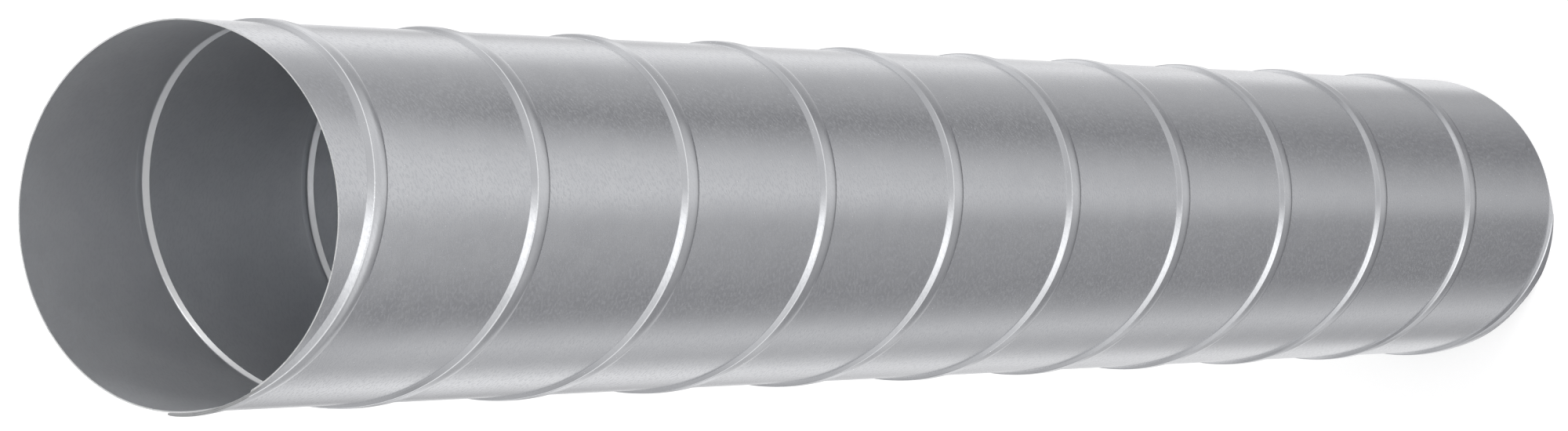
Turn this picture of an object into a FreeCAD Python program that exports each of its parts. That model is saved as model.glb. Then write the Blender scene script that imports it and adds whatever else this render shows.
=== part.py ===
# Spiral-wound round ventilation duct: one strip of galvanised sheet steel, wound left-handed
# and closed on the outside by a four-ply lock seam. Millimetres, +Z up. The duct stands on one
# of its two square-cut ends, and the origin is the middle of that end, on the floor.
import FreeCAD, Part
import math
import os
from FreeCAD import Vector

# Driving dimensions of the duct.
BORE_DIAMETER = 160.0  # nominal size, measured inside
SHEET = 0.6  # thickness of the strip
DUCT_LENGTH = 1250.0
SEAM_PITCH = 122.8  # along the axis, from one turn of the seam to the next
SEAM_START = 18.6  # down the -Y side, from the top end to the foot of the seam's flank

# The lock seam in axial section, read downwards from the foot of its flank to its fold.
SEAM_PLIES = 4
SEAM_WIDTH = 13.1  # from the flank's foot to the fold
FLANK_RUN = 3.5
FLANK_RISE = 1.45  # the crown climbs the rest of the seam's height
CROWN_RUN = 3.2
FOLD_BEVEL = 0.6  # the rounding of the fold, as one bevel

# The groove that the seam leaves in the bore: a short step, a flat floor and a long slope back.
GROOVE_START = 2.5  # from the flank's foot
GROOVE_STEP = 0.3
GROOVE_DEPTH = 0.7
GROOVE_FLOOR = 4.4
GROOVE_SLOPE = 4.7

# How far the seam's sections reach into the round cores that they are joined with.
BITE = 0.3

bore_radius = BORE_DIAMETER / 2
outer_radius = bore_radius + SHEET
ridge_radius = outer_radius + (SEAM_PLIES - 1) * SHEET
groove_radius = bore_radius + GROOVE_DEPTH


def carried_on(start, end, radius):
    """The point at a radius on the line through two points of a section."""
    share = (radius - start[1]) / (end[1] - start[1])
    return (start[0] + share * (end[0] - start[0]), radius)


def ridge_section():
    """The ridge outside the duct's skin, as (distance from the flank's foot, radius)."""
    foot = (0.0, outer_radius)
    crease = (FLANK_RUN, outer_radius + FLANK_RISE)
    return [
        carried_on(foot, crease, outer_radius - BITE),
        crease,
        (FLANK_RUN + CROWN_RUN, ridge_radius),
        (SEAM_WIDTH - FOLD_BEVEL, ridge_radius),
        (SEAM_WIDTH, ridge_radius - FOLD_BEVEL),
        (SEAM_WIDTH, outer_radius - BITE),
    ]


def groove_section():
    """The groove inside the duct, as (distance from the flank's foot, radius)."""
    edge = (GROOVE_START, bore_radius)
    near = (GROOVE_START + GROOVE_STEP, groove_radius)
    far = (near[0] + GROOVE_FLOOR, groove_radius)
    close = (far[0] + GROOVE_SLOPE, bore_radius)
    return [
        carried_on(edge, near, bore_radius - BITE),
        near,
        far,
        carried_on(far, close, bore_radius - BITE),
    ]


def wind(section):
    """Sweep a section along the seam's left-hand helix, from below the duct to above it."""
    turns = math.ceil(DUCT_LENGTH / SEAM_PITCH) + 3
    helix = Part.makeLongHelix(SEAM_PITCH, turns * SEAM_PITCH, outer_radius, 0, True)
    points = [Vector(radius, 0, -along) for along, radius in section]
    outline = Part.makePolygon(points + points[:1])
    wound = helix.makePipeShell([outline], True, True)
    start = (DUCT_LENGTH - SEAM_START - SEAM_PITCH / 4) % SEAM_PITCH
    wound.translate(Vector(0, 0, start - 2 * SEAM_PITCH))
    return wound


def cut_to_length(radius, wound):
    """A round core with the wound section on it, cut square at both ends."""
    spare = SEAM_PITCH / 2
    core = Part.makeCylinder(radius, DUCT_LENGTH + 2 * spare, Vector(0, 0, -spare))
    room = Part.makeCylinder(2 * radius, DUCT_LENGTH)
    return core.fuse(wound).common(room)


def split_faces(core):
    """The two flat ends of a core, lowest first, and its other faces."""
    flat = [f for f in core.Faces if isinstance(f.Surface, Part.Plane)]
    sides = [f for f in core.Faces if not isinstance(f.Surface, Part.Plane)]
    return sorted(flat, key=lambda f: f.CenterOfMass.z), sides


def wall_between(outside, inside):
    """The solid wall between two cores: both skins, and a ring at each end."""
    outer_ends, outer_sides = split_faces(outside)
    inner_ends, inner_sides = split_faces(inside)
    rings = [big.cut(small).Faces[0] for big, small in zip(outer_ends, inner_ends)]
    skins = outer_sides + [f.reversed() for f in inner_sides]
    return Part.makeSolid(Part.makeShell(skins + rings))


outside = cut_to_length(outer_radius, wind(ridge_section()))
inside = cut_to_length(bore_radius, wind(groove_section()))
duct = wall_between(outside, inside)

os.makedirs("parts", exist_ok=True)
duct.exportStep("parts/spiral_duct.step")
print("spiral_duct", duct.isValid(), duct.Volume, len(duct.Faces))
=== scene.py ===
"""A standing spiral-wound galvanised duct: the skins of its wound strip, its zinc, its stage."""
import math

import bmesh
import bpy
from mathutils import Matrix, Vector


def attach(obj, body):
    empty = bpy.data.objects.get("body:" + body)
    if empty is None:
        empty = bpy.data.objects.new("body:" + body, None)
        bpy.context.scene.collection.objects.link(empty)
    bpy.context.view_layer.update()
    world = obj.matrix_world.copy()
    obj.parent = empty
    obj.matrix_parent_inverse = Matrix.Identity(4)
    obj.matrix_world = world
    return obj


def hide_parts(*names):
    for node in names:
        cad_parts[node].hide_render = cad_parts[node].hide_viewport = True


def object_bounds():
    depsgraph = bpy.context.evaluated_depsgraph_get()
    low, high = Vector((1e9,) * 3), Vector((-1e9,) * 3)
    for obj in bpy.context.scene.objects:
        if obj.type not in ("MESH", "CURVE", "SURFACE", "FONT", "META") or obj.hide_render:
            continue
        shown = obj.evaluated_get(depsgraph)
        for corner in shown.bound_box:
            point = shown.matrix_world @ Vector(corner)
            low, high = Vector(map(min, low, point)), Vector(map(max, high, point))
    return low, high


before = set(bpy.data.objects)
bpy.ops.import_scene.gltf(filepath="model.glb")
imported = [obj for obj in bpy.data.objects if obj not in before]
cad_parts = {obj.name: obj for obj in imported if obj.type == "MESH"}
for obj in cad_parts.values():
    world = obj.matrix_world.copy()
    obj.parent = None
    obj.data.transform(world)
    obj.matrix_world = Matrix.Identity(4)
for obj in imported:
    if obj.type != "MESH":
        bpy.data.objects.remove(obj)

cad_low, cad_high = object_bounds()

MM = 0.001

# The duct, as its solid has it. The photograph looks at it from over its top end.
TOP_END = cad_high[2]
BOTTOM_END = cad_low[2]
BORE_RADIUS = 80.0 * MM
SHEET = 0.6 * MM
SEAM_PITCH = 122.8 * MM
SEAM_START = 18.6 * MM  # down the -Y side, from the top end to the foot of the seam's flank
SEAM_WIDTH = 13.1 * MM  # from the flank's foot to the fold
TUCK = 0.3 * MM  # how far the wall starts up under the fold of the turn before
SLOPE_END = 12.1 * MM  # from the flank's foot to where the groove's slope meets the bore again

# The strip's map holds metres along the strip and metres across it, counted in each skin from
# its section's first point.
STRIP_MAP = "strip"
FOOT_ACROSS = SEAM_PITCH - SEAM_WIDTH + TUCK  # the foot of the seam's flank, on the outer skin
SLOPE_ACROSS = 119.1 * MM  # where the groove's long slope starts, on the inner skin

STEPS_PER_TURN = 160

# How near a point lies that counts as on a cut, as in a rim's plane, and as the same point.
CUT_SLACK = 1e-7
RIM_SLACK = 1e-6
WELD = 2e-6


class Term:
    """A node's output in an expression. Each operator on it adds one Math node."""

    def __init__(self, graph, socket):
        self.graph = graph
        self.socket = socket

    def __add__(self, other):
        return self.graph.math("ADD", self, other)

    __radd__ = __add__

    def __sub__(self, other):
        return self.graph.math("SUBTRACT", self, other)

    def __rsub__(self, other):
        return self.graph.math("SUBTRACT", other, self)

    def __mul__(self, other):
        return self.graph.math("MULTIPLY", self, other)

    __rmul__ = __mul__

    def __truediv__(self, other):
        return self.graph.math("DIVIDE", self, other)


class Graph:
    """A node tree that is written as expressions."""

    def __init__(self, tree):
        self.tree = tree

    def node(self, kind, settings=None, inputs=None, output=0):
        """Add a node: its settings come first, then its inputs by name or number."""
        node = self.tree.nodes.new(kind)
        for name, value in (settings or {}).items():
            if name == "stops":
                self.set_stops(node.color_ramp, value)
            else:
                setattr(node, name, value)
        for name, value in (inputs or {}).items():
            self.feed(node.inputs[name], value)
        return Term(self, node.outputs[output]) if node.outputs else node

    def set_stops(self, ramp, stops):
        """Give a ramp its stops, as (place, colour)."""
        while len(ramp.elements) < len(stops):
            ramp.elements.new(1.0)
        for element, (place, colour) in zip(ramp.elements, stops):
            element.position = place
            element.color = colour

    def feed(self, socket, value):
        """Link an expression to a socket, or set a plain value on it."""
        if isinstance(value, Term):
            self.tree.links.new(value.socket, socket)
        else:
            socket.default_value = value

    def math(self, operation, *values, clamp=False):
        return self.node(
            "ShaderNodeMath",
            {"operation": operation, "use_clamp": clamp},
            dict(enumerate(values)),
        )

    def split(self, vector):
        """The three parts of a vector."""
        parts = self.node("ShaderNodeSeparateXYZ", {}, {0: vector}).socket.node
        return [Term(self, out) for out in parts.outputs]

    def vector(self, x, y, z):
        return self.node("ShaderNodeCombineXYZ", {}, {0: x, 1: y, 2: z})


def strip_winder():
    """A Geometry Nodes tree that winds a section's points into a left-hand helical skin.

    A point of the section holds its place down the duct, its height over the skin's radius and
    its place across the strip.
    """
    tree = bpy.data.node_groups.new("strip_winder", "GeometryNodeTree")
    sockets = [
        ("Section", "NodeSocketGeometry"),
        ("Radius", "NodeSocketFloat"),
        ("Pitch", "NodeSocketFloat"),
        ("Start", "NodeSocketFloat"),
        ("First Turn", "NodeSocketInt"),
        ("Turns", "NodeSocketInt"),
        ("Steps per Turn", "NodeSocketInt"),
        ("Finish", "NodeSocketMaterial"),
    ]
    for name, kind in sockets:
        tree.interface.new_socket(name, in_out="INPUT", socket_type=kind)
    tree.interface.new_socket("Skin", in_out="OUTPUT", socket_type="NodeSocketGeometry")

    graph = Graph(tree)
    group = graph.node("NodeGroupInput").socket.node
    given = {name: Term(graph, group.outputs[name]) for name, _ in sockets}

    columns = graph.node("GeometryNodeAttributeDomainSize", {}, {0: given["Section"]})
    steps = given["Turns"] * given["Steps per Turn"]
    grid = graph.node(
        "GeometryNodeMeshGrid",
        {},
        {
            "Size X": columns - 1,
            "Size Y": steps,
            "Vertices X": columns,
            "Vertices Y": steps + 1,
        },
    )
    across, around, _ = graph.split(graph.node("GeometryNodeInputPosition"))
    column = graph.math("ROUND", across + (columns - 1) * 0.5)
    turn = (around + steps * 0.5) / given["Steps per Turn"] + given["First Turn"]
    point = graph.node(
        "GeometryNodeSampleIndex",
        {"data_type": "FLOAT_VECTOR", "domain": "POINT"},
        {
            "Geometry": given["Section"],
            "Value": graph.node("GeometryNodeInputPosition"),
            "Index": column,
        },
    )
    down, height, width = graph.split(point)
    angle = turn * math.tau
    radius = given["Radius"] + height
    place = graph.vector(
        radius * graph.math("SINE", angle),
        0 - radius * graph.math("COSINE", angle),
        given["Start"] - down - turn * given["Pitch"],
    )
    mapped = graph.node(
        "GeometryNodeStoreNamedAttribute",
        {"data_type": "FLOAT2", "domain": "CORNER"},
        {
            "Geometry": grid,
            "Name": STRIP_MAP,
            "Value": graph.vector(angle * given["Radius"], width, 0.0),
        },
    )
    skin = graph.node("GeometryNodeSetPosition", {}, {"Geometry": mapped, "Position": place})
    skin = graph.node("GeometryNodeSetShadeSmooth", {}, {0: skin})
    skin = graph.node("GeometryNodeRealizeInstances", {}, {0: skin})
    skin = graph.node(
        "GeometryNodeSetMaterial", {}, {"Geometry": skin, "Material": given["Finish"]}
    )
    graph.node("NodeGroupOutput", {}, {0: skin})
    return tree


def section_mesh(name, points):
    """A section's points as a mesh, with the way travelled across the strip as the third value."""
    width = 0.0
    rows = []
    for here, there in zip(points[:1] + points, points):
        width += math.dist(here, there)
        rows.append((there[0] * MM, there[1] * MM, width * MM))
    mesh = bpy.data.meshes.new(name)
    mesh.from_pydata(rows, [], [])
    return mesh


def wound(name, points, radius, winder, finish):
    """One skin of the duct, as a plain mesh: the section wound past both ends."""
    piece = bpy.data.objects.new(name, section_mesh(name, points))
    bpy.context.collection.objects.link(piece)
    modifier = piece.modifiers.new("winder", "NODES")
    modifier.node_group = winder
    turns = math.ceil((TOP_END - BOTTOM_END) / SEAM_PITCH) + 1
    sizes = {
        "Radius": radius,
        "Pitch": SEAM_PITCH,
        "Start": TOP_END - SEAM_START,
        "First Turn": -1,
        "Turns": turns,
        "Steps per Turn": STEPS_PER_TURN,
        "Finish": finish,
    }
    for item in winder.interface.items_tree:
        if item.in_out == "INPUT" and item.name in sizes:
            modifier[item.identifier] = sizes[item.name]
    bpy.context.view_layer.update()
    evaluated = piece.evaluated_get(bpy.context.evaluated_depsgraph_get())
    mesh = bpy.data.meshes.new_from_object(evaluated)
    bpy.data.objects.remove(piece)
    return mesh


def outer_section():
    """The outer skin over one pitch, from one fold of the seam to the next.

    A point is its distance down the duct from the flank's foot and its height over the skin, in mm.
    """
    fold = SEAM_WIDTH / MM
    fold_before = fold - SEAM_PITCH / MM
    tuck = TUCK / MM
    wall = [(fold_before - tuck, 0.0), (fold_before + 0.1, 0.0), (fold_before + 1.2, 0.0),
            (-56.0, 0.0), (-1.2, 0.0), (-0.4, 0.0)]
    flank = [(-0.1, 0.02), (0.2, 0.1), (0.5, 0.22), (1.2, 0.51), (2.2, 0.92), (2.94, 1.22),
             (3.0, 1.25)]
    crease = [(3.06, 1.3), (3.18, 1.47), (3.31, 1.59), (3.42, 1.62), (3.55, 1.628)]
    crown = [(4.0, 1.64), (4.8, 1.67), (5.8, 1.712), (6.9, 1.76), (8.0, 1.795), (9.0, 1.8),
             (10.0, 1.775), (11.0, 1.71), (11.8, 1.605), (12.4, 1.46)]
    bead = [(12.8, 1.3), (12.98, 1.15), (fold - 0.03, 1.0), (fold, 0.85)]
    under = [(fold, 0.5), (fold - 0.05, 0.25), (fold - tuck, 0.0)]
    return wall + flank + crease + crown + bead + under


def inner_section():
    """The inner skin over one pitch, from one end of the groove in the bore to the next.

    A point is its distance down the duct from the flank's foot and its depth in the wall, in mm.
    """
    end = SLOPE_END / MM
    end_before = end - SEAM_PITCH / MM
    step = [(2.5, 0.0), (2.56, 0.04), (2.62, 0.2), (2.7, 0.52), (2.76, 0.66), (2.84, 0.69)]
    bottom = [(2.95, 0.7), (5.0, 0.705), (6.4, 0.7), (7.2, 0.67), (7.9, 0.6), (8.6, 0.5)]
    slope = [(10.4, 0.25), (end - 0.2, 0.03), (end, 0.0)]
    wall = [(end_before, 0.0), (end_before + 0.8, 0.0), (end_before + 2.0, 0.0), (-56.0, 0.0),
            (2.1, 0.0), (2.4, 0.0)]
    return wall + step + bottom + slope


def cut_square(shape, at, outward):
    """Cut a skin off square at one end."""
    bmesh.ops.bisect_plane(
        shape,
        geom=shape.verts[:] + shape.edges[:] + shape.faces[:],
        dist=CUT_SLACK,
        plane_co=Vector((0.0, 0.0, at)),
        plane_no=Vector((0.0, 0.0, outward)),
        clear_outer=True,
    )


def close_rim(shape, at, finish_index):
    """Fill the ring between the two skins at a cut end with flat faces and crisp edges."""
    loops = [
        edge
        for edge in shape.edges
        if edge.is_boundary and all(abs(vert.co.z - at) < RIM_SLACK for vert in edge.verts)
    ]
    for edge in loops:
        edge.smooth = False
    ring = bmesh.ops.triangle_fill(shape, edges=loops, use_beauty=True)["geom"]
    for face in ring:
        if isinstance(face, bmesh.types.BMFace):
            face.smooth = False
            face.material_index = finish_index


def duct_piece(zinc, bore_zinc, cut_edge):
    """The whole duct: two wound skins, cut square and closed at both rims."""
    winder = strip_winder()
    skins = [
        wound("outer_skin", outer_section(), BORE_RADIUS + SHEET, winder, zinc),
        wound("inner_skin", inner_section(), BORE_RADIUS, winder, bore_zinc),
    ]
    shape = bmesh.new()
    for finish_index, mesh in enumerate(skins):
        first = len(shape.faces)
        shape.from_mesh(mesh)
        bpy.data.meshes.remove(mesh)
        for face in list(shape.faces)[first:]:
            face.material_index = finish_index
    bmesh.ops.remove_doubles(shape, verts=shape.verts, dist=WELD)
    for at, outward in ((TOP_END, 1.0), (BOTTOM_END, -1.0)):
        cut_square(shape, at, outward)
    for at in (TOP_END, BOTTOM_END):
        close_rim(shape, at, len(skins))
    bmesh.ops.recalc_face_normals(shape, faces=shape.faces)
    mesh = bpy.data.meshes.new("spiral_duct_skin")
    for finish in (zinc, bore_zinc, cut_edge):
        mesh.materials.append(finish)
    shape.to_mesh(mesh)
    shape.free()
    piece = bpy.data.objects.new("spiral_duct_skin", mesh)
    bpy.context.collection.objects.link(piece)
    return piece


def new_material(name):
    """An empty node material and its graph."""
    material = bpy.data.materials.new(name)
    material.use_nodes = True
    material.node_tree.nodes.clear()
    return material, Graph(material.node_tree)


def finish_material(graph, shader):
    graph.node("ShaderNodeOutputMaterial", {}, {"Surface": shader})


def noise(graph, place, scale, detail, distortion=0.0):
    """Smooth noise between 0 and 1 at a place in metres."""
    return graph.node(
        "ShaderNodeTexNoise",
        {"noise_dimensions": "3D"},
        {"Vector": place, "Scale": scale, "Detail": detail, "Distortion": distortion},
    )


def between(graph, value, low, high):
    """Where a value lies between two others, as 0 to 1 with soft ends."""
    return graph.node(
        "ShaderNodeMapRange",
        {"interpolation_type": "SMOOTHSTEP"},
        {"Value": value, "From Min": low, "From Max": high},
    )


def blend(graph, share, first, second):
    """A colour between two others."""
    return graph.node(
        "ShaderNodeMix", {"data_type": "RGBA"}, {0: share, 6: first, 7: second}, output=2
    )


WHITE = (1.0, 1.0, 1.0, 1.0)

# Zinc: its clouds' two shades, its flecks of oxide, and a darker zinc painted on the groove's slope
# as painted shade.
ZINC_SHADE = (0.745, 0.755, 0.775, 1.0)
ZINC = (0.785, 0.795, 0.812, 1.0)
OXIDE = (0.625, 0.635, 0.66, 1.0)
SLOPE_PAINTED_SHADE = (0.57, 0.575, 0.585, 1.0)

# The sheared edge: bare steel, stains, burrs, and painted shade on the seam's folded plies and in
# the slits between them.
STEEL = (0.56, 0.565, 0.57, 1.0)
STAIN = (0.38, 0.385, 0.39, 1.0)
BURR = (0.72, 0.725, 0.73, 1.0)
PAINTED_PLY_SHADE = (0.26, 0.265, 0.27, 1.0)
PAINTED_SLIT_SHADE = (0.07, 0.07, 0.072, 1.0)


def galvanised_steel(name, dull, metal, relief, speckle, slope=None):
    """Zinc on rolled strip: clouds, a fine spangle, roll grain, and slanted flecks of dull oxide.

    The relief is in mm. On the groove's slope, its grain is turned up, and the zinc there is
    painted darker as painted shade.
    """
    material, graph = new_material(name)
    along, across, _ = graph.split(graph.node("ShaderNodeUVMap", {"uv_map": STRIP_MAP}))
    drawn = graph.vector(along, across * 0.75, 0.0)
    rolled = graph.vector(along * 0.03, across, 0.5)
    # The flecks lie slanted to the strip and are about twice as long as wide.
    stroke = graph.vector(across * 0.3 - along * 0.36, along * 0.64 + across * 0.77, 0.0)
    spangle = noise(graph, stroke, 800.0, 2.0, 0.3)
    flat = 1 - between(graph, across, FOOT_ACROSS - 1.0 * MM, FOOT_ACROSS + 0.5 * MM) * 0.7
    cloud = noise(graph, drawn, 70.0, 3.0, 0.4)
    fleck = between(graph, spangle, 0.46, 0.64) * flat * speckle
    grain = noise(graph, rolled, 900.0, 2.0)
    tint = blend(graph, between(graph, cloud, 0.3, 0.7), ZINC_SHADE, ZINC)
    tint = blend(graph, fleck, tint, OXIDE)
    height = (spangle * 0.5 + grain * 0.1 + cloud * 0.8) * flat
    if slope:
        ramp = graph.math("SMOOTH_MAX", across - SLOPE_ACROSS, 0.0, 1.2 * MM)
        height = height + ramp * (slope / (relief * MM))
        # Painted shade: the groove's slope gets a darker zinc, which dims what it mirrors.
        painted_shade_band = between(graph, across, SLOPE_ACROSS - 0.5 * MM, SLOPE_ACROSS + 0.5 * MM)
        tint = blend(graph, painted_shade_band, tint, SLOPE_PAINTED_SHADE)
    bump = graph.node(
        "ShaderNodeBump", {}, {"Strength": 1.0, "Distance": relief * MM, "Height": height}
    )
    shader = graph.node(
        "ShaderNodeBsdfPrincipled",
        {},
        {
            "Base Color": tint,
            "Metallic": metal - fleck * 0.28,
            "Roughness": dull + (cloud - 0.5) * 0.06,
            "Normal": bump,
        },
    )
    finish_material(graph, shader)
    return material


def bare_edge():
    """The sheared edge of the strip, with painted shade on the seam's plies and in the slits
    between them.
    """
    material, graph = new_material("sheared_edge")
    place = graph.node("ShaderNodeTexCoord", {}, {}, output=3)
    x, y, _ = graph.split(place)
    plies = (graph.math("SQRT", x * x + y * y) - BORE_RADIUS) / SHEET
    seam = between(graph, plies, 1.0, 1.15)
    slit_shade_mask = seam - between(graph, graph.math("PINGPONG", plies, 0.5), 0.03, 0.2) * seam
    burr = noise(graph, place, 2600.0, 2.0)
    patch = noise(graph, place, 130.0, 3.0, 0.5)
    stain = between(graph, patch, 0.45, 0.7)
    tint = blend(graph, stain, STEEL, STAIN)
    tint = blend(graph, between(graph, burr, 0.35, 0.75), tint, BURR)
    # Painted shade: the seam's plies are darkened on the cut face.
    tint = blend(graph, seam * 0.65, tint, PAINTED_PLY_SHADE)
    # Painted shade: near black in the slits between the plies.
    tint = blend(graph, slit_shade_mask * 0.8, tint, PAINTED_SLIT_SHADE)
    bump = graph.node(
        "ShaderNodeBump", {}, {"Strength": 1.0, "Distance": 0.05 * MM, "Height": burr + patch}
    )
    shader = graph.node(
        "ShaderNodeBsdfPrincipled",
        {},
        {
            "Base Color": tint,
            "Metallic": 0.9,
            "Roughness": 0.35 + stain * 0.2,
            "Normal": bump,
        },
    )
    finish_material(graph, shader)
    return material


# The photograph's camera: in front of the duct's -Y side and over its top end.
CAMERA_BEFORE = 1.41085
CAMERA_OVER = 1.93307
CAMERA_AHEAD = (0.0, 0.5026, -0.8645)
CAMERA_LENS = 133.92


def camera():
    """The photograph's view, down along the duct, with the duct's +X side up in the frame."""
    data = bpy.data.cameras.new("photo_camera")
    data.sensor_width = 36.0
    data.lens = CAMERA_LENS
    data.clip_end = 100.0
    view = bpy.data.objects.new("photo_camera", data)
    bpy.context.collection.objects.link(view)
    view.location = (0.0, -CAMERA_BEFORE, TOP_END + CAMERA_OVER)
    ahead = Vector(CAMERA_AHEAD).normalized()
    up = Vector((1.0, 0.0, 0.0))
    view.rotation_euler = Matrix((ahead.cross(up), up, -ahead)).transposed().to_euler()
    bpy.context.scene.camera = view


TENT_RADIUS = 1.5
TENT_TOP = TOP_END
TENT_FOOT = -7.0
BRIGHTEST = 1.4
TOUCH_OF_BLUE = 0.01
DARK = (0.1, 0.1, 0.11, 1.0)

# How bright the tent is by direction around the duct: -1 and 1 on the -X side, 0 on the -Y side
# and 0.5 on the +X side. The photograph's camera sees five heights of it in the metal, from above
# downwards: in the seam's flank on the upper turns and on the last ones, in the seam's crown, and
# in the wall at the upper end and at the foot.
FLANK_TONES = [(-1.0, 0.61), (-0.7, 0.54), (-0.5, 0.36), (-0.42, 0.51), (-0.31, 0.64),
               (-0.19, 0.7), (-0.11, 1.1), (-0.06, 1.35), (0.03, 1.35), (0.07, 0.9), (0.12, 0.62),
               (0.25, 0.61), (0.36, 0.54), (0.46, 0.47), (0.57, 0.74), (0.7, 0.69), (1.0, 0.61)]
FAR_FLANK_TONES = [(-1.0, 0.5), (-0.7, 0.46), (-0.6, 0.48), (-0.5, 0.56), (-0.42, 0.63),
                   (-0.31, 0.73), (-0.19, 1.03), (-0.12, 1.25), (-0.06, 1.35), (0.0, 1.1),
                   (0.04, 0.8), (0.08, 0.55), (0.25, 0.55), (0.36, 0.52), (0.46, 0.53),
                   (0.57, 0.76), (0.65, 0.6), (0.7, 0.5), (1.0, 0.5)]
CROWN_TONES = [(-1.0, 1.0), (-0.86, 0.5), (-0.7, 0.6), (-0.6, 0.46), (-0.5, 0.36), (-0.42, 0.27),
               (-0.31, 0.25), (-0.19, 0.35), (-0.03, 0.44), (0.08, 0.71), (0.2, 0.8), (0.3, 0.86),
               (0.37, 0.6), (0.45, 0.36), (0.58, 0.52), (0.69, 0.95), (1.0, 1.0)]
UPPER_TONES = [(-1.0, 0.9), (-0.92, 0.9), (-0.86, 0.38), (-0.7, 0.94), (-0.58, 0.47),
               (-0.48, 0.63), (-0.37, 0.3), (-0.31, 0.27), (-0.19, 0.35), (-0.03, 0.44),
               (0.08, 0.71), (0.18, 0.67), (0.25, 0.52), (0.33, 0.3), (0.37, 0.26), (0.47, 0.39),
               (0.58, 0.5), (0.69, 0.89), (0.75, 0.88), (0.83, 0.5), (0.92, 1.0), (1.0, 1.0)]
LOWER_TONES = [(-1.0, 0.9), (-0.87, 0.85), (-0.75, 0.82), (-0.66, 0.38), (-0.59, 0.42),
               (-0.48, 0.65), (-0.36, 0.4), (-0.28, 0.26), (-0.12, 0.27), (-0.03, 0.31),
               (0.04, 0.47), (0.09, 0.49), (0.25, 0.26), (0.31, 0.23), (0.43, 0.33), (0.57, 0.46),
               (0.65, 0.43), (0.69, 0.48), (0.76, 0.91), (0.84, 0.9), (1.0, 0.9)]
# From one table to the next, and to the dark under the last, it changes between these heights.
TO_FAR_FLANK = (0.5, 0.05)
TO_CROWN = (-0.44, -0.6)
TO_UPPER = (-0.66, -0.95)
TO_LOWER = (-1.15, -3.2)
TO_DARK = (-3.4, -5.2)


def staged(name, corners, faces, material):
    """A mesh that belongs to the stage."""
    mesh = bpy.data.meshes.new(name)
    mesh.from_pydata(corners, [], faces)
    mesh.materials.append(material)
    piece = bpy.data.objects.new(name, mesh)
    bpy.context.collection.objects.link(piece)
    return piece


def tones(graph, place, table):
    """The tent's grey at a place around the duct, with a touch of blue."""
    stops = []
    for at, tone in table:
        grey = tone / BRIGHTEST
        blue = (tone + TOUCH_OF_BLUE) / BRIGHTEST
        stops.append(((at + 1) / 2, (grey, grey, blue, 1.0)))
    return graph.node("ShaderNodeValToRGB", {"stops": stops}, {"Fac": place})


def passed(graph, height, above, below):
    """How much of the way down from one height to another a height has come, from 0 to 1."""
    return graph.math(
        "MULTIPLY_ADD", height, 1 / (below - above), above / (above - below), clamp=True
    )


FLOOR_REACH = 40.0
FLOOR_PAINT = (0.6, 0.6, 0.6, 1.0)
FLOOR_GLOW = 0.5


def floor():
    """A plain pale floor: white to the camera, with the duct's soft shadow on it."""
    material, graph = new_material("pale_floor")
    paint = graph.node("ShaderNodeBsdfDiffuse", {}, {"Color": FLOOR_PAINT})
    is_camera = graph.node("ShaderNodeLightPath")
    shine = graph.node(
        "ShaderNodeEmission", {}, {"Color": WHITE, "Strength": is_camera * FLOOR_GLOW}
    )
    finish_material(graph, graph.node("ShaderNodeAddShader", {}, {0: paint, 1: shine}))
    quarters = ((-1, -1), (1, -1), (1, 1), (-1, 1))
    corners = [(x * FLOOR_REACH, y * FLOOR_REACH, 0.0) for x, y in quarters]
    pale = staged("floor", corners, [(0, 1, 2, 3)], material)
    pale.visible_glossy = False


def glow(name, light, strength):
    """A material that only shines. It isn't sampled as a lamp, which the floor would hide."""
    material, graph = new_material(name)
    colour = light(graph) if callable(light) else light
    shader = graph.node("ShaderNodeEmission", {}, {"Color": colour, "Strength": strength})
    finish_material(graph, shader)
    material.cycles.emission_sampling = "NONE"
    return material


def only_in_metal(piece):
    """Keep a stage piece out of everything but reflections."""
    piece.visible_camera = False
    piece.visible_diffuse = False
    piece.visible_shadow = False


def tent_tones(graph):
    """The tent's light from its tables of tones."""
    x, y, z = graph.split(graph.node("ShaderNodeTexCoord", {}, {}, output=3))
    turn = graph.math("ARCTAN2", x, 0 - y) / math.tau + 0.5
    light = tones(graph, turn, FLANK_TONES)
    tables = (
        (FAR_FLANK_TONES, TO_FAR_FLANK),
        (CROWN_TONES, TO_CROWN),
        (UPPER_TONES, TO_UPPER),
        (LOWER_TONES, TO_LOWER),
    )
    for table, heights in tables:
        light = blend(graph, passed(graph, z, *heights), light, tones(graph, turn, table))
    return blend(graph, passed(graph, z, *TO_DARK), light, DARK)


def light_tent():
    """A round tent of soft light about the duct, seen only in the metal, through the floor."""
    steps = 72
    corners = []
    for i in range(steps):
        angle = math.tau * i / steps
        x = TENT_RADIUS * math.sin(angle)
        y = -TENT_RADIUS * math.cos(angle)
        corners += [(x, y, TENT_TOP), (x, y, TENT_FOOT)]
    faces = [(2 * i, 2 * i + 1, (2 * i + 3) % (2 * steps), (2 * i + 2) % (2 * steps))
             for i in range(steps)]
    only_in_metal(staged("light_tent", corners, faces, glow("tent_light", tent_tones, BRIGHTEST)))


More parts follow.
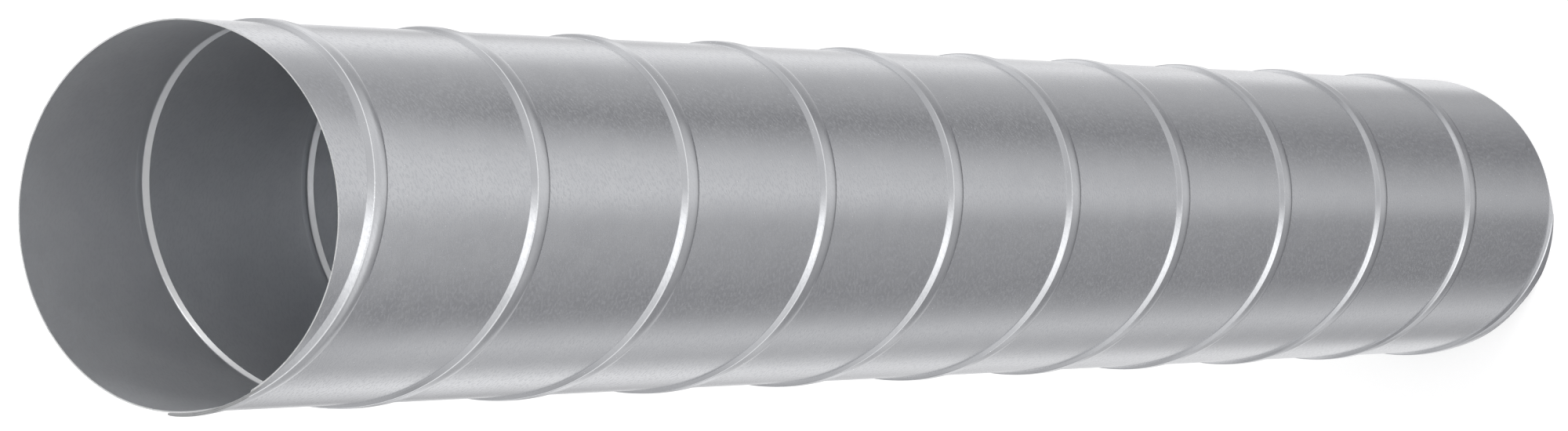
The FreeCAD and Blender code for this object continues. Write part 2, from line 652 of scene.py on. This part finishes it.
def light_disc(name, radius, centre, strength):
    """A flat round light, seen only in the metal."""
    steps = 36
    x, y, z = centre
    angles = [math.tau * i / steps for i in range(steps)]
    corners = [(x + radius * math.sin(a), y + radius * math.cos(a), z) for a in angles]
    shine = glow(name, WHITE, strength)
    only_in_metal(staged(name, corners, [tuple(range(steps))], shine))


SOFTBOX_TOWARDS = (0.53, -0.25, 0.81)
SOFTBOX_AWAY = 2.6  # from the duct's middle


def softbox():
    """The lamp above the camera that looks into the upper end."""
    data = bpy.data.lights.new("softbox", "AREA")
    data.shape = "RECTANGLE"
    data.size = 0.5
    data.size_y = 0.8
    data.energy = 9.5
    lamp = bpy.data.objects.new("softbox", data)
    bpy.context.collection.objects.link(lamp)
    towards = Vector(SOFTBOX_TOWARDS).normalized()
    lamp.location = towards * SOFTBOX_AWAY + Vector((0.0, 0.0, (TOP_END + BOTTOM_END) / 2))
    lamp.rotation_euler = towards.to_track_quat("Z", "Y").to_euler()
    lamp.visible_camera = False
    lamp.visible_glossy = False


def studio_world():
    """White all round, for the camera, the metal and the floor alike."""
    world = bpy.data.worlds.new("studio")
    bpy.context.scene.world = world
    world.use_nodes = True
    world.node_tree.nodes["Background"].inputs["Color"].default_value = WHITE


camera()
duct = duct_piece(
    galvanised_steel("galvanised_steel", dull=0.17, metal=1.0, relief=0.03, speckle=1.0),
    galvanised_steel("galvanised_bore", dull=0.3, metal=0.765, relief=0.03, speckle=0.3, slope=1.2),
    bare_edge(),
)
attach(duct, "root")
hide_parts("spiral_duct")

floor()
light_tent()
light_disc("tent_floor", radius=TENT_RADIUS, centre=(0.0, 0.0, TENT_FOOT), strength=0.2)
# One lamp lies under the bore, and the groove's slope mirrors the other over the upper end.
light_disc("foot_lamp", radius=BORE_RADIUS - MM, centre=(0.0, 0.0, BOTTOM_END - 0.03), strength=2.4)
light_disc("seam_lamp", radius=0.27, centre=(0.62, -1.2, 2.6), strength=9.5)
softbox()
studio_world()
bpy.context.scene.view_settings.view_transform = "Standard"
bpy.context.scene.cycles.glossy_bounces = 10

print("triangles", sum(len(p.vertices) - 2 for p in duct.data.polygons))
